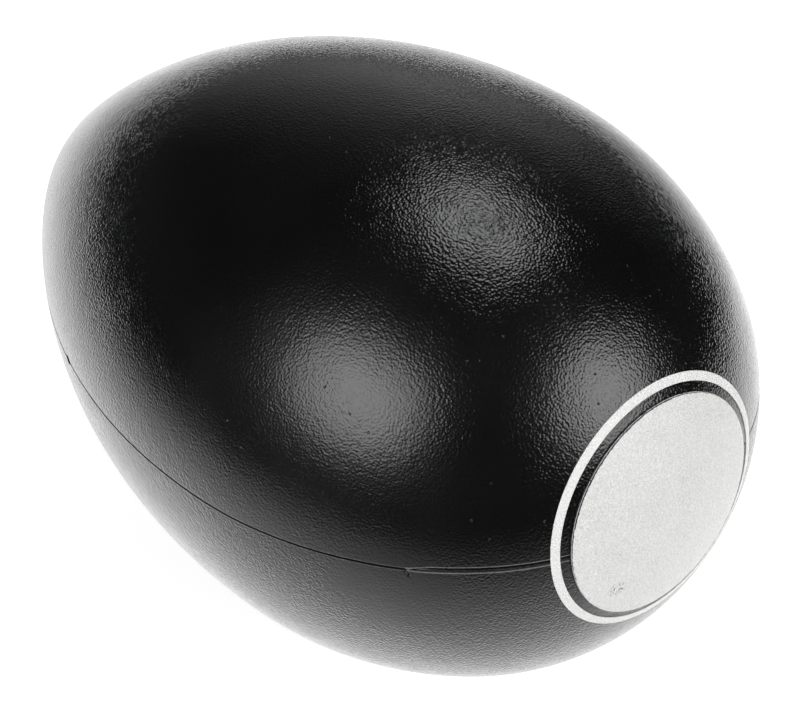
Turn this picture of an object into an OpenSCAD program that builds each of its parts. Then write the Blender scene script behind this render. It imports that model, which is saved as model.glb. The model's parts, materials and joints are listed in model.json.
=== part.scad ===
// Egg shaker, lying on its side as it does on a table.
// Two moulded half shells are welded along a lengthwise seam, steel shot is loose inside,
// and the blunt end carries a white printed disc inside a thin white ring.
// Lengths are in millimetres and angles in degrees.

/* [Body] */
// Greatest diameter of the egg
body_d = 43.4; // [41:0.1:46]
// Radius of the long curve from the widest point to the pointed end
long_flank_r = 50.68; // [47:0.01:55]
// Radius of the pointed end
tip_r = 10.66; // [9:0.01:12.5]
// Radius of the short curve from the widest point to the blunt end
short_flank_r = 30.7; // [28:0.1:33]
// Radius of the blunt end
blunt_r = 20.5; // [19:0.1:20.9]
// Thickness of the moulded wall
wall = 2; // [1.8:0.1:2.4]
// Angle by which the pointed end dips when the egg lies on a table
lean = 5.3; // [0:0.1:8]

/* [Seam] */
// Width of the fine groove that shows along the seam
seam_w = 0.16; // [0.1:0.02:0.3]
// Depth of that groove
seam_depth = 0.35; // [0.2:0.05:0.5]
// Width of the tongue on the lower shell's rim
tongue_w = 0.7; // [0.5:0.05:0.8]
// Height of the tongue
tongue_h = 1; // [0.6:0.1:1.5]
// Room left around the tongue in the upper shell's groove
tongue_gap = 0.05; // [0.03:0.01:0.1]

/* [Badge] */
// Diameter of the white disc
disc_d = 16.8; // [14:0.1:17.4]
// Thickness of the white disc
disc_t = 0.12; // [0.08:0.02:0.2]
// Inner diameter of the white ring
ring_inner_d = 18; // [17.6:0.1:18.6]
// Outer diameter of the white ring
ring_outer_d = 19.4; // [19:0.1:20.4]
// Thickness of the white ring
ring_t = 0.06; // [0.04:0.02:0.12]

/* [Shot] */
// Diameter of one steel ball
ball_d = 3; // [2.9:0.05:3.1]
// Room left between a ball and its neighbours or the wall
ball_gap = 0.2; // [0.1:0.05:0.25]
// Distance from the long axis down to the top of the shot
shot_level = 11.4; // [11:0.1:12]
// Most layers of shot that lie on each other
shot_layers = 3; // [1:1:3]

/* [Hidden] */
body_r = body_d / 2;
// The flank arcs meet at the widest point, so their centres lie past the long axis
long_flank_drop = long_flank_r - body_r;
short_flank_drop = short_flank_r - body_r;
// Centres of the end arcs on the long axis, counted from the widest point
tip_x = -sqrt(pow(long_flank_r - tip_r, 2) - pow(long_flank_drop, 2));
blunt_x = sqrt(pow(short_flank_r - blunt_r, 2) - pow(short_flank_drop, 2));
// Directions, radius first, in which each flank arc's centre sees its end arc take over
tip_turn = [long_flank_drop, tip_x];
blunt_turn = [short_flank_drop, blunt_x];
// A length past every edge of the egg, for cutting shapes
beyond = 100;
// Makes a slice's sides long enough to pass the arc
slice_reach = 8;
// How far the tongue is let into the lower shell's rim
tongue_root = 0.3;
// Place of the widest point when the egg lies on the table plane, centred along its length
belly_x = ((-tip_x - blunt_x) * cos(lean) + tip_r - blunt_r - disc_t) / 2;
belly_z = long_flank_r - long_flank_drop * cos(lean);

ball_pitch = ball_d + ball_gap;
layer_pitch = ball_pitch * cos(30);
// More places than a row of shot or a layer ever has to either side
row_limit = 12;
ball_limit = 12;
row_places = [for (i = [-row_limit : row_limit]) if (len(row_balls(i * ball_pitch)) > 0) i];
row_numbers = [1 : len(row_places)];

$fn = 96;

function row_name(n) = str("shot_row_", n);
function loose_name(n) = str("loose_ball_", n);
function row_x(n) = row_places[n - 1] * ball_pitch;

// Height of an arc of radius r above its centre line, at the distance x from its centre
function arc_height(r, x) = sqrt(max(r * r - x * x, 0));

// Radius of the egg at x along its long axis, measured inset deep below its surface
function egg_r(x, inset) =
    let (
        tip_joint = tip_x * (long_flank_r - inset) / (long_flank_r - tip_r),
        blunt_joint = blunt_x * (short_flank_r - inset) / (short_flank_r - blunt_r)
    )
    x < tip_joint ? arc_height(tip_r - inset, x - tip_x) :
    x < 0 ? arc_height(long_flank_r - inset, x) - long_flank_drop :
    x < blunt_joint ? arc_height(short_flank_r - inset, x) - short_flank_drop :
    arc_height(blunt_r - inset, x - blunt_x);

// Distance from the long axis to the middle of a ball that lies on the wall
function floor_r(x) = egg_r(x, wall + ball_gap + ball_d / 2);

// Layers of shot in the row at x, and the distance from the axis to each layer
function layers_at(x) = min(shot_layers, floor((floor_r(x) - shot_level) / layer_pitch) + 1);
function layer_r(x, k) = floor_r(x) - k * layer_pitch;
function top_layer_r(x) = layer_r(x, layers_at(x) - 1);

// Angle between neighbours in a row, set by its top layer, where they lie closest
function ball_step(x) = 2 * asin(ball_pitch / (2 * top_layer_r(x)));

// Middle of a ball at the distance r from the axis, turned by the angle a from straight down
function ball_at(x, r, a) = [x, r * sin(a), -r * cos(a)];

// Middles of the balls in the row at x: every second layer is shifted by half a step, so balls nest
function row_balls(x) = [
    for (k = [0 : 1 : layers_at(x) - 1])
    let (r = layer_r(x, k), shift = (layers_at(x) - k) % 2 / 2)
    for (j = [-ball_limit : ball_limit])
    let (a = (j + shift) * ball_step(x))
    if (abs(a) < 90 && r * cos(a) >= shot_level) ball_at(x, r, a)
];

// A loose ball nests on its row's top layer, and the rows take turns left, middle and right
function loose_turn(n) = (n % 3 - 1) * ball_step(row_x(n));
function loose_r(n) = top_layer_r(row_x(n)) * cos(ball_step(row_x(n)) / 2) - layer_pitch;

// A slice of a disc between two directions from its centre, as one arc's share of the egg
module slice(centre, r, from, to) {
    intersection() {
        translate(centre) circle(r);
        polygon([centre, centre + slice_reach * from, centre + slice_reach * to]);
    }
}

// Half of the egg's lengthwise section, inset deep: radius along X, length along Y
module half_section(inset) {
    intersection() {
        translate([0, -beyond]) square([beyond, 2 * beyond]);
        union() {
            slice([0, tip_x], tip_r - inset, [0, tip_x], tip_turn);
            slice([-long_flank_drop, 0], long_flank_r - inset, tip_turn, [long_flank_drop, 0]);
            slice([-short_flank_drop, 0], short_flank_r - inset, [short_flank_drop, 0], blunt_turn);
            slice([0, blunt_x], blunt_r - inset, blunt_turn, [0, blunt_x]);
        }
    }
}

// The whole outline at the seam, inset deep: length along X
module seam_outline(inset) {
    for (side = [0, 1]) mirror([0, side]) rotate(-90) half_section(inset);
}

// A band of the seam outline between two depths
module seam_band(outer_inset, inner_inset) {
    difference() {
        seam_outline(outer_inset);
        seam_outline(inner_inset);
    }
}

// Puts a shape made about Z on the long axis, and lays the egg on the table plane
module on_axis() {
    rotate([90, 0, 90]) children();
}
module lay() {
    translate([belly_x, 0, belly_z]) rotate([0, -lean, 0]) children();
}

// Wall on the upper side of the seam, with its outer edge relieved for the seam groove
module half_wall() {
    difference() {
        on_axis() rotate_extrude(angle = 180) difference() {
            half_section(0);
            half_section(wall);
        }
        linear_extrude(seam_w, center = true) seam_band(-seam_depth, seam_depth);
    }
}

// Tongue of the seam joint, or with some room the groove that takes it
module tongue(room) {
    translate([0, 0, -tongue_root]) linear_extrude(tongue_h + tongue_root + room)
        seam_band((wall - tongue_w) / 2 - room, (wall + tongue_w) / 2 + room);
}

module upper_shell() {
    lay() color("#1c1c1d") difference() {
        half_wall();
        tongue(tongue_gap);
    }
}

module lower_shell() {
    lay() color("#1c1c1d") union() {
        rotate([180, 0, 0]) half_wall();
        tongue(0);
    }
}

// Thin layer on the blunt dome, between two radii
module dome_layer(inner_r, outer_r, thickness) {
    on_axis() rotate_extrude() intersection() {
        translate([0, blunt_x]) difference() {
            circle(blunt_r + thickness);
            circle(blunt_r);
        }
        translate([inner_r, blunt_x]) square([outer_r - inner_r, beyond]);
    }
}

module badge_disc() {
    lay() color("#e6e6e4") dome_layer(0, disc_d / 2, disc_t);
}

module badge_ring() {
    lay() color("#e6e6e4") dome_layer(ring_inner_d / 2, ring_outer_d / 2, ring_t);
}

module ball() {
    sphere(d = ball_d);
}

// One row of shot, all the balls at one place along the length
module shot_row(n) {
    lay() color("#b9bbbe") for (centre = row_balls(row_x(n))) translate(centre) ball();
}

module loose_ball(n) {
    lay() color("#c9cbce") translate(ball_at(row_x(n), loose_r(n), loose_turn(n))) ball();
}

upper_shell();
lower_shell();
badge_disc();
badge_ring();
for (n = row_numbers) {
    shot_row(n);
    loose_ball(n);
}
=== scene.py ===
"""Looks of an egg shaker: two moulded black half shells, white print on the blunt end, steel shot inside.

Lengths are in metres, in the part's own frame, where the egg lies on its side on the floor.
Shapes are worked out in the egg's own axes and then laid into that frame: x runs along the length to the
blunt end, counted from the widest section, y runs across, and z is square to the seam, the plane z = 0.
"""

import json
import math

import bpy
import numpy as np
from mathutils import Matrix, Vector


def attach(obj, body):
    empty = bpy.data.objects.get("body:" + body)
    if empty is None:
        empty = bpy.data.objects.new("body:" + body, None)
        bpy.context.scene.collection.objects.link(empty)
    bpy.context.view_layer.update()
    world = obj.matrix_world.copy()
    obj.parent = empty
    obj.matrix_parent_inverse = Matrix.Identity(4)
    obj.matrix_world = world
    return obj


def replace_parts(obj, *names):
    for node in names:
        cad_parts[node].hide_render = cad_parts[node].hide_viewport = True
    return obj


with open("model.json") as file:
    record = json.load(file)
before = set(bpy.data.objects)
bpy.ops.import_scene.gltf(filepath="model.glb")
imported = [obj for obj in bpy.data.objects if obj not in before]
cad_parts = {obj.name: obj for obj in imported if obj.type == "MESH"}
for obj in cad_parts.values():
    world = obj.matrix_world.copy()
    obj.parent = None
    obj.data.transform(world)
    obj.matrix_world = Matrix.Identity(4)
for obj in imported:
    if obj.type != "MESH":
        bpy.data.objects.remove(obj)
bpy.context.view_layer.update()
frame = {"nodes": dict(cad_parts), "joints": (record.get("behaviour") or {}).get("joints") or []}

MM = 0.001

# The egg's outline is four arcs that run into each other
BELLY_R = 21.7 * MM
BLUNT_R = 20.5 * MM
SHORT_FLANK_R = 30.7 * MM
LONG_FLANK_R = 50.68 * MM
TIP_R = 10.66 * MM
WALL = 2.0 * MM
SHORT_FLANK_DROP = SHORT_FLANK_R - BELLY_R
LONG_FLANK_DROP = LONG_FLANK_R - BELLY_R
BLUNT_X = math.sqrt((SHORT_FLANK_R - BLUNT_R) ** 2 - SHORT_FLANK_DROP**2)
TIP_X = -math.sqrt((LONG_FLANK_R - TIP_R) ** 2 - LONG_FLANK_DROP**2)

# Arcs from the blunt end to the pointed end: middle, radius, and the outward turns between which each runs
ARC_X = np.array([BLUNT_X, 0.0, 0.0, TIP_X])
ARC_DROP = np.array([0.0, SHORT_FLANK_DROP, LONG_FLANK_DROP, 0.0])
ARC_R = np.array([BLUNT_R, SHORT_FLANK_R, LONG_FLANK_R, TIP_R])
ARC_TURNS = np.array(
    [
        0.0,
        math.atan2(SHORT_FLANK_DROP, BLUNT_X),
        math.pi / 2,
        math.atan2(LONG_FLANK_DROP, TIP_X),
        math.pi,
    ]
)
ARC_RUNS = np.concatenate([[0.0], np.cumsum(ARC_R * np.diff(ARC_TURNS))])
HALF_RUN = ARC_RUNS[-1]

# The seam's fine groove, which spreads a little on its front side towards the burr
GROOVE_DEPTH = 0.35 * MM
GROOVE_HALF = 0.065 * MM
GROOVE_SPREAD = 0.02 * MM
GROOVE_SPREAD_X = 8 * MM
GROOVE_EDGE = 0.012 * MM
FINE_LIP_AT = 0.05 * MM
FINE_LIP_WIDTH = 0.035 * MM
# How rubbed grey the fine groove's lips are: partly wear, partly a painted glint
FINE_LIP_RUB_AND_GLINT = 0.45
HAIRLINE = 0.004 * MM

# In front, from the burr to under the disc, the seam is a flush strip between two ridges, each with a niche
RIDGE_HEIGHT = 0.035 * MM
RIDGE_WIDTH = 0.045 * MM
NICHE_DEPTH = 0.12 * MM
NICHE_WIDTH = 0.04 * MM
UPPER_NICHE_STEP = 0.13 * MM
LOWER_NICHE_STEP = 0.09 * MM
STRIP_FADE = 4 * MM

# Distance of the ridges from the seam at the burr, how it changes, and between which places along the egg
UPPER_RIDGE_START = 0.12 * MM
UPPER_RIDGE_PARTING = 0.24 * MM
UPPER_PARTED_X = 17.8 * MM
UPPER_RIDGE_CLOSING = 0.12 * MM
UPPER_CLOSING_X = 19 * MM
LOWER_RIDGE_START = 0.05 * MM
LOWER_RIDGE_PARTING = 0.06 * MM
LOWER_PARTED_X = 17 * MM
LOWER_RIDGE_ONWARD = 0.12 * MM
LOWER_ONWARD_X = 17.5 * MM
RIDGES_END_X = 23 * MM

# Marks on the seam's front side: the burr with its nib and hook, and a nick near the pointed end
BURR_X = 16.3 * MM
BURR_LENGTH = 0.3 * MM
NIB_X = 16.43 * MM
NIB_AT = 0.05 * MM
NIB_LENGTH = 0.26 * MM
NIB_WIDTH = 0.06 * MM
NIB_HEIGHT = 0.05 * MM
HOOK_X = 15.94 * MM
HOOK_RUN = 0.55 * MM
HOOK_TOP = 0.06 * MM
HOOK_DROP = 0.62 * MM
HOOK_WIDTH = 0.055 * MM
HOOK_DEPTH = 0.15 * MM
HOOK_FADE = 0.1
NICK_X = -19.6 * MM
NICK_LENGTH = 0.36 * MM
NICK_HALF = 0.28 * MM

# The tongue on the lower shell's rim
TONGUE_W = 0.7 * MM
TONGUE_H = 1.0 * MM
TONGUE_GAP = 0.05 * MM

# The print on the blunt dome
DISC_R = 8.4 * MM
DISC_T = 0.12 * MM
RING_INNER_R = 9.03 * MM
RING_OUTER_R = 9.64 * MM
RING_T = 0.06 * MM
RING_DIP = 0.03 * MM
RING_DIP_WIDTH = 0.1 * MM
PRINT_SINK = 0.02 * MM

# Mesh fineness: stations run round the egg or the badge, levels and rings follow each other across them
EVEN_STATIONS = 480
MARK_STATIONS = 48
MARK_REACH = 3
OUTLINE_TABLE = 4000
OUTER_LEVELS = 84
INNER_LEVELS = 34
LAST_LEVEL_TURN = math.radians(2.0)
HALVINGS = 44
LIP_HEIGHTS = MM * np.concatenate(
    [np.linspace(0.7, 0.46, 7), np.linspace(0.44, 0.1, 18), np.linspace(0.085, 0.03, 9)]
)
BADGE_STATIONS = 320
DISC_FLAT_RINGS = 41
DISC_EDGE_RINGS = 6
DISC_UNDER_SKIP = 8
RING_FLAT_RINGS = 6
RING_EDGE_RINGS = 5
RING_DIP_STATIONS = 17
RING_DIP_REACH = 4
SHARP_EDGE = math.radians(40)

# The moulded grain: fine noise that is stronger in patches, and pits whose size is a share of their spacing
NOISE_MEAN = 0.5
GRAIN_CELL = 0.17 * MM
GRAIN_DETAIL = 0.5
GRAIN_DEPTH = 0.037 * MM
PATCH_CELL = 2.2 * MM
PATCH_GRAIN = (0.45, 1.55)
PATCH_SWELL = 0.6
PIT_SPACING = 1.6 * MM
PIT_SPAN = (0.025, 0.07)
PIT_DEPTH = 0.7

# Spots of other grain: middle, core, edge and share of wear. Below zero the grain is crisper instead
WEAR_SPOTS = (
    ((9 * MM, -16.5 * MM, 10.5 * MM), 6 * MM, 16 * MM, 1.0),
    ((21 * MM, -4 * MM, 11 * MM), 4 * MM, 10 * MM, 0.65),
    ((-30 * MM, -9 * MM, 3 * MM), 6 * MM, 21 * MM, 0.8),
    ((20 * MM, -13.5 * MM, 2 * MM), 3 * MM, 8 * MM, 0.7),
    ((-4.5 * MM, -20 * MM, 7.5 * MM), 3 * MM, 9 * MM, 0.7),
    ((13 * MM, 12 * MM, 14.5 * MM), 4 * MM, 9 * MM, -0.7),
    ((-8 * MM, -5.5 * MM, 20 * MM), 6 * MM, 13 * MM, 0.85),
    ((-12 * MM, -14 * MM, 14.5 * MM), 3 * MM, 8 * MM, 0.4),
    ((15 * MM, -17.5 * MM, -2.5 * MM), 2.5 * MM, 6 * MM, 0.9),
)

# The black plastic's colours, and how handling and rubbing vary it. The rubbed grey on the seam is partly
# wear and partly a painted glint
PLASTIC_DARK = (0.0026, 0.0026, 0.0027, 1)
PLASTIC_PALE = (0.0042, 0.0042, 0.0043, 1)
PLASTIC_RUBBED_AND_GLINT = (0.13, 0.13, 0.128, 1)
HANDLING_CELL = 9 * MM
HANDLING_GLOSS = (0.85, 1.15)
RUB_CELL = 0.5 * MM
RUB_STRENGTH = (0.6, 1.4)
RUB_ROUGHNESS = 0.2

# The white print: how far it reaches, its ragged edge, and the pale broken rim of the bare margin past it,
# which is a painted glint on the disc's rounded edge
PRINT_R = 8.38 * MM
PRINT_MIDDLE = (0.0, 0.08 * MM, -0.115 * MM)
MARGIN_SOFT = 0.02 * MM
RAGGED_CELL = 0.24 * MM
RAGGED_REACH = 0.16 * MM
RIM_START = 0.06 * MM
RIM_FULL = 0.04 * MM
RIM_END = 0.02 * MM
RIM_BREAKS = (0.3, 0.45)
BARE_BLACK = (0.004, 0.004, 0.004, 1)
BARE_RIM_GLINT = (0.45, 0.45, 0.45, 1)

# The white print's colours, its clouds, mottle and specks, and its finish
DISC_SHADED = (0.55, 0.55, 0.54, 1)
DISC_WHITE = (0.77, 0.77, 0.76, 1)
RING_SHADED = (0.65, 0.65, 0.64, 1)
RING_WHITE = (0.81, 0.81, 0.8, 1)
SPECK_GREY = (0.1, 0.1, 0.1, 1)
CLOUD_CELL = 2.5 * MM
CLOUD_SHARE = 0.2
MOTTLE_CELL = 0.12 * MM
MOTTLE_SPAN = (0.3, 0.7)
SPECKS_AT = (0.0, -4.9 * MM, -4.4 * MM)
SPECKS_CORE = 0.2 * MM
SPECKS_EDGE = 1 * MM
SPECK_CELL = 0.13 * MM
SPECK_SPAN = (0.6, 0.66)
INK_ROUGHNESS = (0.42, 0.52)
BARE_GLOSS = 0.2
INK_GRAIN = 3.0

# The tumbled steel of the shot
STEEL_DARK = (0.5, 0.51, 0.52, 1)
STEEL_PALE = (0.62, 0.63, 0.64, 1)
STEEL_CELL = 0.5 * MM
STEEL_DETAIL = 3.0
STEEL_ROUGHNESS = (0.16, 0.36)
STEEL_DENT = 0.01 * MM

# The floor, and the lit table with one shaded place that the plastic mirrors instead of it
FLOOR_HALF = 2.0
FLOOR_GLOW = 0.65
PAPER = (0.9, 0.9, 0.9, 1)
TABLE_MIDDLE = (-25 * MM, 50 * MM, 0.0)
TABLE_CORE = 45 * MM
TABLE_EDGE = 210 * MM
TABLE_LIGHT = (2.05, 0.15)
SHADE_MIDDLE = (-50 * MM, 92 * MM, 0.0)
SHADE_CORE = 15 * MM
SHADE_EDGE = 75 * MM
SHADE_LEVEL = 0.75

# Sides of the lit table: azimuth, and how far out that way the light starts to fade and is gone
TABLE_SIDES = (
    (60, 16 * MM, 96 * MM),
    (-25, 32 * MM, 114 * MM),
    (165, 85 * MM, 168 * MM),
)

# The egg's shadow on the table: ellipses of growing size that all touch at the egg's foot
SHADOW_MIDDLE = (-18.2 * MM, 19.2 * MM, 0.0)
SHADOW_HALF = (41.3 * MM, 28 * MM, 1.0)
SHADOW_TURN = (0.0, 0.0, math.radians(-26))
SHADOW_RUN = (-0.929, 0.369, 0.0)
SHADOW_SPAN = (0.5, 0.95)
SHADOW_LEVEL = 0.78
CONTACT_SPAN = (1.02, 1.2)
CONTACT_LEVEL = 0.76

# The room: its dim light, the paler horizon and the backdrop, whose spans are parts of a unit direction
ROOM_LIGHT = 0.012
FILL_LIGHT = 0.15
HORIZON_LIGHT = 0.07
HORIZON_HEIGHT = (0.0, 0.2)
BACKDROP_LIGHT = 0.68
BACKDROP_AZIMUTH = -135.5
BACKDROP_ONWARD = (0.0, 0.3)
BACKDROP_ACROSS = (0.0, 0.66)
BACKDROP_HEIGHT = (0.15, 0.85)

# Soft boxes: azimuth, elevation and spread in degrees, and radiance
SOFT_BOXES = {
    "overhead_softbox": (-157, 75, 31, 4.7),
    "front_softbox": (2, 25.5, 39, 5.7),
    "side_softbox": (106, 22, 40, 5.4),
}

# A soft box's cloth and its brighter middle: distance, share of the width, and share of the radiance
SOFT_BOX_PARTS = {"cloth": (0.7, 1.0, 0.87), "middle": (0.68, 0.42, 0.22)}

# The photograph's view
VIEW_TARGET = Vector((4.85, -1.336, 22.091)) * MM
VIEW_DISTANCE = 308.6 * MM
VIEW_AZIMUTH = 47.715
VIEW_ELEVATION = 40.337
VIEW_LENS = 191.79
VIEW_SENSOR = 36.0
VIEW_CLIP = 10 * MM

roll_joint = next(joint for joint in frame["joints"] if joint["type"] == "hinge")
EGG_MIDDLE = np.array(roll_joint["pos_m"])
LONG_AXIS = np.array(roll_joint["axis"])
EGG_AXES = np.array([LONG_AXIS, [0.0, 1.0, 0.0], np.cross(LONG_AXIS, [0.0, 1.0, 0.0])])
LEAN = math.atan2(LONG_AXIS[2], LONG_AXIS[0])


def lay(points):
    """Egg axes to the part's frame: the middle of the belly plus each coordinate along its own axis."""
    return EGG_MIDDLE + points @ EGG_AXES


def outward_turn(run):
    """Turn of the outline's normal after a run along it from the blunt end: each arc turns evenly."""
    return np.interp(run, ARC_RUNS, ARC_TURNS)


def outline(turn, inset):
    """Point of the half outline whose normal has that turn: the arc's middle plus its radius, less inset."""
    arc = np.searchsorted(ARC_TURNS[1:-1], turn)
    reach = ARC_R[arc] - inset
    return ARC_X[arc] + reach * np.cos(turn), reach * np.sin(turn) - ARC_DROP[arc]


def egg_radius(x, inset):
    """Distance from the long axis to the surface at x, inset deep: the height of the arc that covers x."""
    joints = outline(ARC_TURNS[1:-1], inset)[0]
    arc = np.searchsorted(-joints, -x)
    square = (ARC_R[arc] - inset) ** 2 - (x - ARC_X[arc]) ** 2
    return np.sqrt(np.maximum(square, 0)) - ARC_DROP[arc]


def smooth_step(low, high, value):
    """Rises from 0 at low to 1 at high along three squares less two cubes."""
    share = np.clip((value - low) / (high - low), 0, 1)
    return share * share * (3 - 2 * share)


def hump(value, width):
    """A bell that is 1 at 0 and has fallen to 1/e at the width."""
    return np.exp(-np.square(value / width))


def plateau(value, width):
    """A flat-topped bell, of the fourth power, that is 1 at 0 and has fallen to 1/e at the width."""
    return np.exp(-((value / width) ** 4))


class Seam:
    """Stations round the seam outline, closer at its burr and nick, with the groove's shape at each."""

    def __init__(self):
        runs = np.linspace(0, 2 * HALF_RUN, EVEN_STATIONS, endpoint=False)
        table = np.linspace(0, HALF_RUN, OUTLINE_TABLE)
        table_x = outline(outward_turn(table), 0.0)[0]
        for mark_x, length in ((BURR_X, BURR_LENGTH), (NICK_X, NICK_LENGTH)):
            mark_run = 2 * HALF_RUN - np.interp(-mark_x, -table_x, table)
            near = np.linspace(-MARK_REACH * length, MARK_REACH * length, MARK_STATIONS)
            runs = np.concatenate([runs, mark_run + near])
        runs = np.sort(runs)
        self.side = np.where(runs < HALF_RUN, 1.0, -1.0)
        self.turn = outward_turn(np.minimum(runs, 2 * HALF_RUN - runs))
        self.normal = np.stack([np.cos(self.turn), self.side * np.sin(self.turn), 0 * runs], axis=-1)
        self.x, y = self.plan(0.0)
        self.front = y < 0
        past_burr = smooth_step(BURR_X - BURR_LENGTH / 2, BURR_X + BURR_LENGTH / 2, self.x)
        self.strip = past_burr * smooth_step(STRIP_FADE, -STRIP_FADE, y)
        nick = self.front * plateau(self.x - NICK_X, NICK_LENGTH)
        spread = self.front * smooth_step(GROOVE_SPREAD_X, BURR_X, self.x)
        self.groove_half = GROOVE_HALF + (NICK_HALF - GROOVE_HALF) * nick + GROOVE_SPREAD * spread

    def upper_ridge(self):
        """Height of the upper ridge: it parts from the seam at the burr, and draws closer near the disc."""
        parting = smooth_step(BURR_X, UPPER_PARTED_X, self.x)
        closing = smooth_step(UPPER_CLOSING_X, RIDGES_END_X, self.x)
        return UPPER_RIDGE_START + UPPER_RIDGE_PARTING * parting - UPPER_RIDGE_CLOSING * closing

    def lower_ridge(self):
        """Depth of the lower ridge: it parts from the seam at the burr, and goes on parting to the disc."""
        parting = smooth_step(BURR_X, LOWER_PARTED_X, self.x)
        onward = smooth_step(LOWER_ONWARD_X, RIDGES_END_X, self.x)
        return LOWER_RIDGE_START + LOWER_RIDGE_PARTING * parting + LOWER_RIDGE_ONWARD * onward

    def lip(self, height, ridge, niche_step):
        """How far the surface stands proud at each height over the seam plane, and how rubbed it is there.

        The fine groove drops in a smooth step. The strip has a bell as its ridge, less one as its niche.
        The rub, a grey on the fine lips and the ridges, is partly wear and partly a painted glint.
        """
        edge = smooth_step(self.groove_half - GROOVE_EDGE, self.groove_half + GROOVE_EDGE, height)
        groove = GROOVE_DEPTH * (edge - 1)
        # The rub is a grey that is partly wear and partly a painted glint on the fine lips and the ridges
        fine_rub_and_glint = FINE_LIP_RUB_AND_GLINT * hump(height - self.groove_half - FINE_LIP_AT, FINE_LIP_WIDTH)
        crest = hump(height - ridge, RIDGE_WIDTH)
        strip = RIDGE_HEIGHT * crest - NICHE_DEPTH * hump(height - ridge + niche_step, NICHE_WIDTH)
        proud = groove + (strip - groove) * self.strip
        rub = fine_rub_and_glint + (crest - fine_rub_and_glint) * self.strip
        return proud, rub

    def nib(self, height):
        """The burr's nib, a short bar on the strip's upper side: flat along the seam and a bell across."""
        return self.front * plateau(self.x - NIB_X, NIB_LENGTH) * hump(height - NIB_AT, NIB_WIDTH)

    def hook(self, rise):
        """The burr's hook, a scratch that crosses the seam from above and bends straight down below it.

        It is a bell round its middle, which runs along the seam as one less the square of the way to go.
        """
        share = (HOOK_TOP - rise) / (HOOK_TOP + HOOK_DROP)
        middle = HOOK_X + HOOK_RUN * (1 - np.square(1 - np.clip(share, 0, 1)))
        begun = smooth_step(-HOOK_FADE, HOOK_FADE, share)
        not_over = smooth_step(1 + HOOK_FADE, 1 - HOOK_FADE, share)
        return self.front * begun * not_over * hump(self.x - middle, HOOK_WIDTH)

    def plan(self, inset):
        """The outline's points in the seam plane, inset deep."""
        x, r = outline(self.turn, inset)
        return x, self.side * r

    def contour(self, height, inset):
        """Level curves of the egg at the given heights over the seam plane.

        Along each ray from the belly's middle to the outline, halving finds the share of the ray at which
        the surface has that height: radius squared less distance across squared is height squared there.
        """
        x, y = self.plan(inset)
        low = np.zeros(np.broadcast(height, x).shape)
        high = np.ones_like(low)
        for _ in range(HALVINGS):
            share = (low + high) / 2
            above = egg_radius(share * x, inset) ** 2 - (share * y) ** 2 > np.square(height)
            low = np.where(above, share, low)
            high = np.where(above, high, share)
        return np.stack([low * x, low * y, np.broadcast_to(height, low.shape)], axis=-1)

    def rim(self, inset, height):
        """One ring that stands square on the seam plane: the inset outline, lifted by height."""
        x, y = self.plan(inset)
        return np.stack([x, y, np.full_like(x, height)], axis=-1)


def put_mesh(name, points, quads, triangles, material):
    """Makes a smooth-shaded piece of points and faces, turned outwards by the sign of its volume."""
    corners = points[np.concatenate([triangles, quads[:, :3], quads[:, [0, 2, 3]]])]
    volume = np.einsum("ij,ij->", corners[:, 0], np.cross(corners[:, 1], corners[:, 2]))
    if volume < 0:
        quads, triangles = quads[:, ::-1], triangles[:, ::-1]
    mesh = bpy.data.meshes.new(name)
    mesh.from_pydata(points.tolist(), [], quads.tolist() + triangles.tolist())
    mesh.polygons.foreach_set("use_smooth", np.ones(len(mesh.polygons), dtype=bool))
    mesh.set_sharp_from_angle(angle=SHARP_EDGE)
    mesh.materials.append(material)
    piece = bpy.data.objects.new(name, mesh)
    bpy.context.scene.collection.objects.link(piece)
    return piece


def ring_quads(levels, stations, closed):
    """Faces between neighbouring closed rings of a grid, and between the last and first ring if asked."""
    bands = levels if closed else levels - 1
    level, station = np.meshgrid(np.arange(bands), np.arange(stations), indexing="ij")
    above = (level + 1) % levels
    beside = (station + 1) % stations
    corners = [(level, station), (level, beside), (above, beside), (above, station)]
    return np.stack([row * stations + column for row, column in corners], axis=-1).reshape(-1, 4)


def closed_skin(name, rings, poles, material):
    """A closed surface: rings that follow each other, and a pole at either end that its ring is drawn to."""
    levels, stations = rings.shape[:2]
    points = np.concatenate([rings.reshape(-1, 3), poles])
    around = np.arange(stations)
    beside = (around + 1) % stations
    first_pole = levels * stations
    last_pole = first_pole + 1
    last_ring = (levels - 1) * stations
    first = np.stack([np.full(stations, first_pole), beside, around], axis=-1)
    last = np.stack([np.full(stations, last_pole), last_ring + around, last_ring + beside], axis=-1)
    quads = ring_quads(levels, stations, False)
    return put_mesh(name, lay(points), quads, np.concatenate([first, last]), material)


def closed_band(name, rings, material):
    """A closed surface like a bent tube: rings that follow each other and end at the first."""
    levels, stations = rings.shape[:2]
    no_triangles = np.zeros((0, 3), dtype=int)
    quads = ring_quads(levels, stations, True)
    return put_mesh(name, lay(rings.reshape(-1, 3)), quads, no_triangles, material)


def upper_lip(seam, height):
    """The upper shell's lip: its ridge and niche, the burr's nib and the start of its hook."""
    proud, rub = seam.lip(height, seam.upper_ridge(), UPPER_NICHE_STEP)
    nib = seam.nib(height)
    hook = seam.hook(height)
    # The nib is rubbed grey too: partly wear, partly a painted glint
    return proud + NIB_HEIGHT * nib - HOOK_DEPTH * hook, np.maximum(rub, nib) * (1 - hook)


def lower_lip(seam, height):
    """The lower shell's lip: its ridge and niche, and the burr's hook."""
    proud, rub = seam.lip(height, seam.lower_ridge(), LOWER_NICHE_STEP)
    hook = seam.hook(-height)
    return proud - HOOK_DEPTH * hook, rub * (1 - hook)


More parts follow.
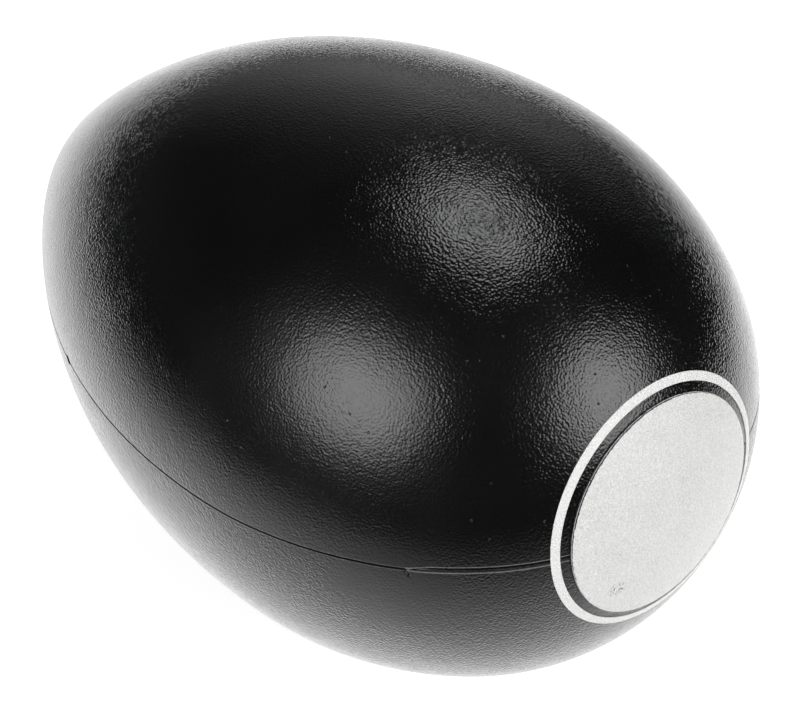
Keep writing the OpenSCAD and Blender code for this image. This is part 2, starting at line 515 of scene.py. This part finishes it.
def half_shell(node_name, seam, lip, rim_path, up, material):
    """Half of the egg as a bowl: level curves from crown to lip, then the rim, and the inside back up.

    The levels rise as the sine of an even turn, so they lie evenly over the round section.
    """
    outside_turn = np.linspace(math.pi / 2, LAST_LEVEL_TURN, OUTER_LEVELS + 1)[1:, None]
    inside_turn = np.linspace(0.0, math.pi / 2, INNER_LEVELS + 1)[:-1, None]
    inside_height = (BELLY_R - WALL) * np.sin(inside_turn)
    lip_height = np.append(LIP_HEIGHTS, HAIRLINE)[:, None]
    proud, rub = lip(seam, lip_height)
    rings = np.concatenate(
        [
            seam.contour(BELLY_R * np.sin(outside_turn), 0.0),
            seam.contour(lip_height, 0.0) + proud[..., None] * seam.normal,
            np.stack([seam.rim(inset, height) for inset, height in rim_path]),
            seam.contour(np.maximum(inside_height, HAIRLINE), WALL),
        ]
    )
    poles = np.array([[0.0, 0.0, BELLY_R], [0.0, 0.0, BELLY_R - WALL]])
    piece = closed_skin(node_name + "_moulding", rings * [1, 1, up], poles * [1, 1, up], material)
    # How rubbed grey each point of the lip is: partly wear, partly a painted glint
    rubbed = np.zeros(len(piece.data.vertices))
    first = OUTER_LEVELS * rub.shape[1]
    rubbed[first : first + rub.size] = rub.ravel()
    piece.data.attributes.new("rub", "FLOAT", "POINT").data.foreach_set("value", rubbed)
    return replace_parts(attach(piece, "shell"), node_name)


def tongue_path(room, reach):
    """The rim across the tongue or its groove: along the rim, square to it by reach, across and back."""
    outer = (WALL - TONGUE_W) / 2 - room
    inner = (WALL + TONGUE_W) / 2 + room
    return [(outer, HAIRLINE), (outer, reach), (inner, reach), (inner, HAIRLINE)]


def dome(away, lift, angle):
    """Points on the blunt dome: that far away from the long axis, and raised by lift along its radius."""
    tilt = np.arcsin(away / BLUNT_R)
    reach = BLUNT_R + lift
    along = BLUNT_X + reach * np.cos(tilt) + 0 * angle
    across = reach * np.sin(tilt)
    return np.stack([along, across * np.cos(angle), across * np.sin(angle)], axis=-1)


def rounded_edge(outer, thickness, rings):
    """Edge of the print: a quarter circle of half its thickness, from its flat top out to its side."""
    radius = thickness / 2
    turn = np.linspace(math.pi / 2, 0, rings)
    return outer - radius + radius * np.cos(turn), thickness - radius + radius * np.sin(turn)


def badge_disc(material):
    """The disc: a cap of the dome with a rounded edge, closed underneath a little below the surface."""
    angle = np.linspace(0, 2 * math.pi, BADGE_STATIONS, endpoint=False)
    flat = np.linspace(0, DISC_R - DISC_T / 2, DISC_FLAT_RINGS)[1:-1]
    edge_away, edge_lift = rounded_edge(DISC_R, DISC_T, DISC_EDGE_RINGS)
    under = np.concatenate([[DISC_R], flat[::-DISC_UNDER_SKIP]])
    away = np.concatenate([flat, edge_away, under])
    lift = np.concatenate([np.full_like(flat, DISC_T), edge_lift, np.full_like(under, -PRINT_SINK)])
    rings = dome(away[:, None], lift[:, None], angle)
    poles = dome(np.zeros(2), np.array([DISC_T, -PRINT_SINK]), np.zeros(2))
    piece = closed_skin("badge_disc_print", rings, poles, material)
    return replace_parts(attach(piece, "shell"), "badge_disc")


def badge_ring(material):
    """The ring: a flat band of the dome with rounded edges, less a bell where it crosses the seam."""
    even = np.linspace(0, 2 * math.pi, BADGE_STATIONS, endpoint=False)
    dip_turn = RING_DIP_WIDTH / RING_OUTER_R
    near_seam = np.linspace(-RING_DIP_REACH, RING_DIP_REACH, RING_DIP_STATIONS) * dip_turn
    angle = np.unique(np.concatenate([even, near_seam % (2 * math.pi), near_seam + math.pi]))
    half = (RING_OUTER_R - RING_INNER_R) / 2
    middle = (RING_OUTER_R + RING_INNER_R) / 2
    flat = np.linspace(0, half - RING_T / 2, RING_FLAT_RINGS)[:-1]
    edge_side, edge_lift = rounded_edge(half, RING_T, RING_EDGE_RINGS)
    side = np.concatenate([flat, edge_side, [half]])
    height = np.concatenate([np.full_like(flat, RING_T), edge_lift, [-PRINT_SINK]])
    away = middle + np.concatenate([-side[::-1], side[1:]])
    lift = np.concatenate([height[::-1], height[1:]])[:, None]
    dip = RING_DIP * hump(RING_OUTER_R * np.sin(angle), RING_DIP_WIDTH)
    rings = dome(away[:, None], np.where(lift > 0, lift - dip, lift), angle)
    piece = closed_band("badge_ring_print", rings, material)
    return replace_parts(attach(piece, "shell"), "badge_ring")


class Shade:
    """A value inside a material: arithmetic on it adds Math nodes, and node() adds any other node."""

    def __init__(self, tree, socket=None):
        self.tree = tree
        self.socket = socket

    def plug(self, socket, value):
        """Links another value to a socket, or sets the socket's own value."""
        if isinstance(value, Shade):
            self.tree.links.new(value.socket, socket)
        else:
            socket.default_value = value

    def node(self, kind, settings=None, inputs=None, output=0):
        """Adds a node: its settings are set first, then its sockets, and the output asked for comes back."""
        made = self.tree.nodes.new("ShaderNode" + kind)
        for key, value in (settings or {}).items():
            setattr(made, key, value)
        for key, value in (inputs or {}).items():
            self.plug(made.inputs[key], value)
        return Shade(self.tree, made.outputs[output])

    def math(self, operation, *values):
        """Adds a Math node."""
        return self.node("Math", {"operation": operation}, dict(enumerate(values)))

    def vector(self, operation, *values):
        """Adds a Vector Math node, and gives its number where it measures, or else its vector."""
        measures = operation in ("DISTANCE", "LENGTH", "DOT_PRODUCT")
        output = "Value" if measures else "Vector"
        return self.node("VectorMath", {"operation": operation}, dict(enumerate(values)), output)

    def __add__(self, other):
        return self.math("ADD", self, other)

    def __radd__(self, other):
        return self.math("ADD", other, self)

    def __sub__(self, other):
        return self.math("SUBTRACT", self, other)

    def __rsub__(self, other):
        return self.math("SUBTRACT", other, self)

    def __mul__(self, other):
        return self.math("MULTIPLY", self, other)

    def __rmul__(self, other):
        return self.math("MULTIPLY", other, self)

    def __truediv__(self, other):
        return self.math("DIVIDE", self, other)

    def __rtruediv__(self, other):
        return self.math("DIVIDE", other, self)

    def step(self, low, high):
        """Rises smoothly from 0 at low to 1 at high."""
        inputs = {"Value": self, "From Min": low, "From Max": high}
        return self.node("MapRange", {"interpolation_type": "SMOOTHSTEP"}, inputs)

    def between(self, low, high):
        """The number low where this value is 0 and high where it is 1."""
        return low + (high - low) * self

    def mix(self, low, high):
        """The colour low where this value is 0 and high where it is 1.

        A Mix node names its sockets alike for every kind of value, so its colours are found by number.
        """
        inputs = {0: self, 6: low, 7: high}
        return self.node("Mix", {"data_type": "RGBA"}, inputs, 2)


def new_finish(name):
    """An empty material: the material, a value to start its expressions with, and its Principled node."""
    material = bpy.data.materials.new(name)
    material.use_nodes = True
    tree = material.node_tree
    return material, Shade(tree), tree.nodes["Principled BSDF"]


def egg_place(start):
    """Object coordinates turned into the egg's own axes."""
    settings = {"vector_type": "TEXTURE"}
    inputs = {
        "Vector": start.node("TexCoord", output="Object"),
        "Location": tuple(EGG_MIDDLE),
        "Rotation": (0.0, -LEAN, 0.0),
    }
    return start.node("Mapping", settings, inputs)


def noise(start, place, cell, detail=2.0):
    """Soft noise whose cells have that size."""
    inputs = {"Vector": place, "Scale": 1 / cell, "Detail": detail}
    return start.node("TexNoise", inputs=inputs)


def raise_relief(start, shader, height, depth):
    """Bends the shader's normals as a relief of that height and depth would."""
    inputs = {"Strength": 1.0, "Distance": depth, "Height": height}
    start.plug(shader.inputs["Normal"], start.node("Bump", inputs=inputs))


def moulded_grain(start, place, strength):
    """Height of the spark-eroded grain: fine noise, stronger in patches, which swell too, less the pits."""
    patches = noise(start, place, PATCH_CELL)
    grain = noise(start, place, GRAIN_CELL, GRAIN_DETAIL) - NOISE_MEAN
    pits = start.node("TexVoronoi", inputs={"Vector": place, "Scale": 1 / PIT_SPACING})
    pit = 1 - pits.step(*PIT_SPAN)
    return grain * patches.between(*PATCH_GRAIN) * strength + PATCH_SWELL * patches - PIT_DEPTH * pit


def black_plastic(name, strength, roughness, worn_strength, worn_roughness):
    """Satin black moulded plastic with a spark-eroded grain, rubbed grey where the seam stands proud.

    Worn spots go over to their own grain strength and roughness. Crisper spots differ in strength alone.
    The rubbed grey on the seam is partly wear and partly a painted glint.
    """
    material, start, shader = new_finish(name)
    place = egg_place(start)
    worn = 0.0
    for middle, core, edge, share in WEAR_SPOTS:
        worn = worn + share * (1 - start.vector("DISTANCE", place, middle).step(core, edge))
    handling = noise(start, place, HANDLING_CELL)
    rub = start.node("Attribute", {"attribute_name": "rub"}, output="Fac")
    rub = rub * noise(start, place, RUB_CELL).between(*RUB_STRENGTH)
    colour = handling.mix(PLASTIC_DARK, PLASTIC_PALE)
    gloss = start.math("MAXIMUM", worn, 0.0).between(roughness, worn_roughness)
    gloss = gloss * handling.between(*HANDLING_GLOSS)
    # Rubbed grey on the seam's lips and ridges: partly wear, partly a painted glint
    start.plug(shader.inputs["Base Color"], rub.mix(colour, PLASTIC_RUBBED_AND_GLINT))
    start.plug(shader.inputs["Roughness"], gloss + RUB_ROUGHNESS * rub)
    relief = moulded_grain(start, place, worn.between(strength, worn_strength))
    raise_relief(start, shader, relief, GRAIN_DEPTH)
    return material


def white_ink():
    """White print that lies over the grain, with a bare, ragged margin where it misses the disc's edge.

    The disc is clouded and mottled, with a few specks in one place, and the ring is only mottled. The
    pale broken line at the disc's very edge, in the bare margin, is a painted glint.
    """
    material, start, shader = new_finish("white_ink_print")
    place = egg_place(start)
    across = start.vector("MULTIPLY", place, (0.0, 1.0, 1.0))
    away = start.vector("LENGTH", across)
    ring = away.step(DISC_R, RING_INNER_R)
    ragged = noise(start, place, RAGGED_CELL)
    print_away = start.vector("DISTANCE", across, PRINT_MIDDLE) + RAGGED_REACH * (ragged - NOISE_MEAN)
    margin = print_away.step(PRINT_R - MARGIN_SOFT, PRINT_R + MARGIN_SOFT) * (1 - ring)
    # A broken pale line at the disc's very edge: a painted glint on its rounded edge
    rim = away.step(DISC_R - RIM_START, DISC_R - RIM_FULL) * (1 - away.step(DISC_R - RIM_END, DISC_R))
    bare = (rim * ragged.step(*RIM_BREAKS)).mix(BARE_BLACK, BARE_RIM_GLINT)
    cloud = noise(start, place, CLOUD_CELL)
    mottle = noise(start, place, MOTTLE_CELL)
    blotches = CLOUD_SHARE * cloud + (1 - CLOUD_SHARE) * mottle.step(*MOTTLE_SPAN)
    white = ring.mix(blotches.mix(DISC_SHADED, DISC_WHITE), mottle.mix(RING_SHADED, RING_WHITE))
    near_specks = 1 - start.vector("DISTANCE", across, SPECKS_AT).step(SPECKS_CORE, SPECKS_EDGE)
    specks = near_specks * noise(start, place, SPECK_CELL, detail=0.0).step(*SPECK_SPAN)
    white = specks.mix(white, SPECK_GREY)
    start.plug(shader.inputs["Base Color"], margin.mix(white, bare))
    start.plug(shader.inputs["Roughness"], cloud.between(*INK_ROUGHNESS) - BARE_GLOSS * margin)
    raise_relief(start, shader, moulded_grain(start, place, INK_GRAIN), GRAIN_DEPTH)
    return material


def steel_shot():
    """Tumbled bright steel."""
    material, start, shader = new_finish("tumbled_steel")
    place = start.node("TexCoord", output="Object")
    rub = noise(start, place, STEEL_CELL, STEEL_DETAIL)
    start.plug(shader.inputs["Base Color"], rub.mix(STEEL_DARK, STEEL_PALE))
    start.plug(shader.inputs["Metallic"], 1.0)
    start.plug(shader.inputs["Roughness"], rub.between(*STEEL_ROUGHNESS))
    raise_relief(start, shader, rub, STEEL_DENT)
    return material


def direction(azimuth, elevation):
    """Unit vector from the part towards that azimuth, counted from -Y towards +X, and elevation."""
    a, e = math.radians(azimuth), math.radians(elevation)
    return Vector((math.cos(e) * math.sin(a), -math.cos(e) * math.cos(a), math.sin(e)))


def soft_box(name, azimuth, elevation, spread, radiance):
    """A round soft lamp that looks at the egg, as wide as its spread and brighter in its middle.

    A disc lamp's power is its radiance times pi times its area.
    """
    towards = direction(azimuth, elevation)
    for part, (distance, width, level) in SOFT_BOX_PARTS.items():
        size = 2 * distance * math.tan(math.radians(spread / 2)) * width
        lamp = bpy.data.lights.new(name + "_" + part, "AREA")
        lamp.shape = "DISK"
        lamp.size = size
        lamp.energy = radiance * level * math.pi * math.pi * size**2 / 4
        holder = bpy.data.objects.new(lamp.name, lamp)
        holder.location = Vector(EGG_MIDDLE) + towards * distance
        holder.rotation_euler = towards.to_track_quat("Z", "Y").to_euler()
        bpy.context.scene.collection.objects.link(holder)


def table_light(start):
    """Light of the table that the plastic mirrors.

    It fades round the table's middle, dims at the shaded place and under the egg, and ends at its sides. The
    shadow is deepest on the small ellipses: a point's ellipse has the size of the distance squared from the
    egg's foot, over twice the way along the shadow.
    """
    place = start.node("TexCoord", output="Object")
    away = start.vector("DISTANCE", place, TABLE_MIDDLE)
    shade_away = start.vector("DISTANCE", place, SHADE_MIDDLE)
    inputs = {"Vector": place, "Location": SHADOW_MIDDLE, "Rotation": SHADOW_TURN, "Scale": SHADOW_HALF}
    from_middle = start.node("Mapping", {"vector_type": "TEXTURE"}, inputs)
    from_foot = start.vector("ADD", from_middle, SHADOW_RUN)
    onward = start.vector("DOT_PRODUCT", from_foot, SHADOW_RUN)
    shadow = (2 * onward / start.vector("DOT_PRODUCT", from_foot, from_foot)).step(*SHADOW_SPAN)
    off_contact = start.vector("LENGTH", from_middle).step(*CONTACT_SPAN)
    light = away.step(TABLE_CORE, TABLE_EDGE).between(*TABLE_LIGHT)
    light = light * shade_away.step(SHADE_CORE, SHADE_EDGE).between(SHADE_LEVEL, 1.0)
    light = light * shadow.between(1.0, SHADOW_LEVEL) * off_contact.between(CONTACT_LEVEL, 1.0)
    for azimuth, fading, gone in TABLE_SIDES:
        outward = start.vector("DOT_PRODUCT", place, tuple(direction(azimuth, 0)))
        light = light * (1 - outward.step(fading, gone))
    return light


def studio_floor():
    """A pale floor that reads as white but keeps the egg's shadow. The plastic mirrors it as a lit table."""
    corners = [(x * FLOOR_HALF, y * FLOOR_HALF, 0.0) for x, y in ((-1, -1), (1, -1), (1, 1), (-1, 1))]
    mesh = bpy.data.meshes.new("floor")
    mesh.from_pydata(corners, [], [(0, 1, 2, 3)])
    material = bpy.data.materials.new("pale_floor")
    material.use_nodes = True
    tree = material.node_tree
    tree.nodes.clear()
    start = Shade(tree)
    camera_ray = start.node("LightPath", output="Is Camera Ray")
    seen = camera_ray + start.node("LightPath", output="Is Transmission Ray")
    mirrored = start.node("LightPath", output="Is Glossy Ray")
    glow = start.node("Emission", inputs={"Color": FLOOR_GLOW * seen, "Strength": 1.0})
    paper = start.node("BsdfDiffuse", inputs={"Color": PAPER})
    pale = start.node("AddShader", inputs={0: glow, 1: paper})
    lit_table = start.node("Emission", inputs={"Color": table_light(start), "Strength": 1.0})
    both = start.node("MixShader", inputs={0: mirrored, 1: pale, 2: lit_table})
    output = tree.nodes.new("ShaderNodeOutputMaterial")
    start.plug(output.inputs["Surface"], both)
    mesh.materials.append(material)
    floor = bpy.data.objects.new("floor", mesh)
    bpy.context.scene.collection.objects.link(floor)


def studio_world():
    """A dim room with a pale backdrop low behind the egg, white where the camera sees it."""
    world = bpy.data.worlds.new("studio")
    world.use_nodes = True
    background = world.node_tree.nodes["Background"]
    start = Shade(world.node_tree)
    towards = start.node("TexCoord", output="Generated")
    height = start.node("SeparateXYZ", inputs={0: towards}, output="Z")
    onward = start.vector("DOT_PRODUCT", towards, tuple(direction(BACKDROP_AZIMUTH, 0)))
    across = start.vector("DOT_PRODUCT", towards, tuple(direction(BACKDROP_AZIMUTH + 90, 0)))
    beside = start.math("ABSOLUTE", across).step(*BACKDROP_ACROSS)
    backdrop = onward.step(*BACKDROP_ONWARD) * (1 - beside) * (1 - height.step(*BACKDROP_HEIGHT))
    horizon = 1 - height.step(*HORIZON_HEIGHT)
    seen = start.node("LightPath", output="Is Camera Ray")
    filled = start.node("LightPath", output="Is Diffuse Ray")
    light = ROOM_LIGHT + HORIZON_LIGHT * horizon + BACKDROP_LIGHT * backdrop + seen + FILL_LIGHT * filled
    start.plug(background.inputs["Color"], (1, 1, 1, 1))
    start.plug(background.inputs["Strength"], light)
    bpy.context.scene.world = world


def photo_camera():
    """The camera at the photograph's viewing angle."""
    camera = bpy.data.cameras.new("photo_view")
    camera.lens = VIEW_LENS
    camera.sensor_width = VIEW_SENSOR
    camera.clip_start = VIEW_CLIP
    holder = bpy.data.objects.new("photo_view", camera)
    back = direction(VIEW_AZIMUTH, VIEW_ELEVATION)
    holder.location = VIEW_TARGET + back * VIEW_DISTANCE
    holder.rotation_euler = back.to_track_quat("Z", "Y").to_euler()
    bpy.context.scene.collection.objects.link(holder)
    bpy.context.scene.camera = holder


upper_plastic = black_plastic(
    "upper_plastic_grain", strength=1.32, roughness=0.14, worn_strength=0.64, worn_roughness=0.265
)
lower_plastic = black_plastic(
    "lower_plastic_grain", strength=1.8, roughness=0.17, worn_strength=0.75, worn_roughness=0.2
)
ink = white_ink()
steel = steel_shot()

egg_seam = Seam()
groove_path = tongue_path(TONGUE_GAP, TONGUE_H + TONGUE_GAP)
half_shell("upper_shell", egg_seam, upper_lip, groove_path, 1, upper_plastic)
half_shell("lower_shell", egg_seam, lower_lip, tongue_path(0.0, -TONGUE_H), -1, lower_plastic)
badge_disc(ink)
badge_ring(ink)
for node_name, node in frame["nodes"].items():
    if node_name.startswith(("shot_row", "loose_ball")):
        node.data.materials[0] = steel

photo_camera()
studio_floor()
studio_world()
for lamp_name, lamp_values in SOFT_BOXES.items():
    soft_box(lamp_name, *lamp_values)
bpy.context.scene.view_settings.view_transform = "Standard"
